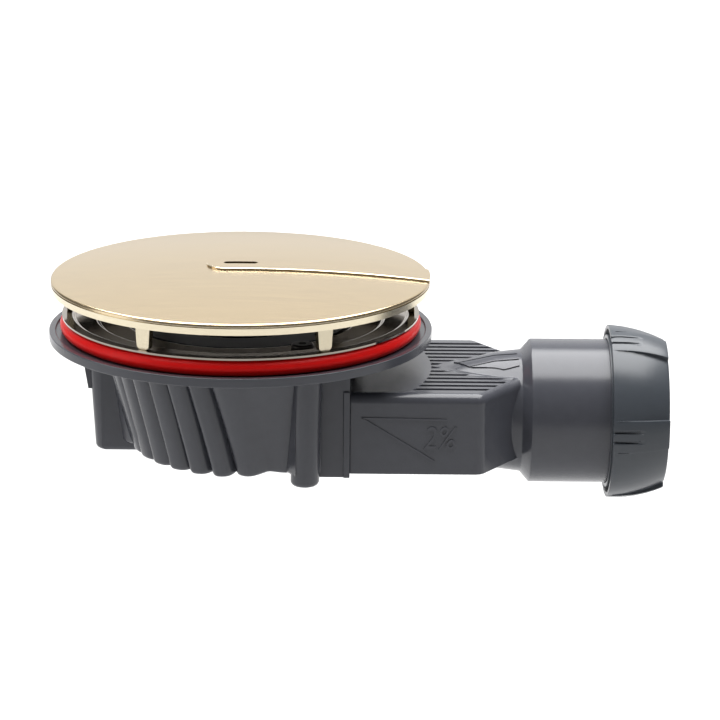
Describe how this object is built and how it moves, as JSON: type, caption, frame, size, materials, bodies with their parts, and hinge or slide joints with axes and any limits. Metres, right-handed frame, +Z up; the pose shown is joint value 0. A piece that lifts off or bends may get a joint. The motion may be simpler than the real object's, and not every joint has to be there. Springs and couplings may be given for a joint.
{
  "type": "shower trap",
  "caption": "Low shower trap: domed cover on legs over a polished dish, red tray seal, fluted bowl with a removable dip tube and cup, flat ribbed outlet duct and a lobed pipe nut.",
  "frame": {"origin": "on the trap's upright axis, in the plane where the shower tray is clamped between the dish's lip and the seal", "axes": "+Z up towards the cover, +X along the outlet towards the pipe"},
  "size_m": [0.204, 0.1266, 0.0787],
  "materials": {
    "cover_metal": "brushed along the outlet, pale gold",
    "polished_steel": "mirror polished",
    "screw_steel": "plain steel",
    "red_rubber": "smooth, slightly glossy",
    "black_rubber": "smooth",
    "body_plastic": "moulded, satin",
    "insert_plastic": "moulded, satin",
    "nut_plastic": "moulded, soft gloss"
  },
  "bodies": {
    "trap": {"cover": "cover_metal", "dish": "polished_steel", "clamp_screws": "screw_steel", "tray_seal": "red_rubber", "dip_tube": "insert_plastic", "tube_flange": "insert_plastic", "tube_ring": "black_rubber", "trap_cup": "insert_plastic", "bowl_flange": "body_plastic", "bowl_flutes": "body_plastic", "trap_bowl": "body_plastic", "outlet_duct": "body_plastic", "pipe_seal": "black_rubber"},
    "ring": {"slip_ring": "insert_plastic"},
    "nut": {"outlet_nut": "nut_plastic"}
  },
  "joints": [
    {"name": "ring_slide", "type": "slide", "parent": "trap", "child": "ring", "axis": [1, 0, 0], "range_m": [0, 0.00347]},
    {"name": "nut_turn", "type": "hinge", "parent": "ring", "child": "nut", "pos_m": [0.13, 0, -0.0328], "axis": [1, 0, 0], "range_deg": [0, 540]}
  ],
  "couplings": [
    {"joint": "ring_slide", "follows": "nut_turn", "m_per_rad": 0.00036749}
  ]
}
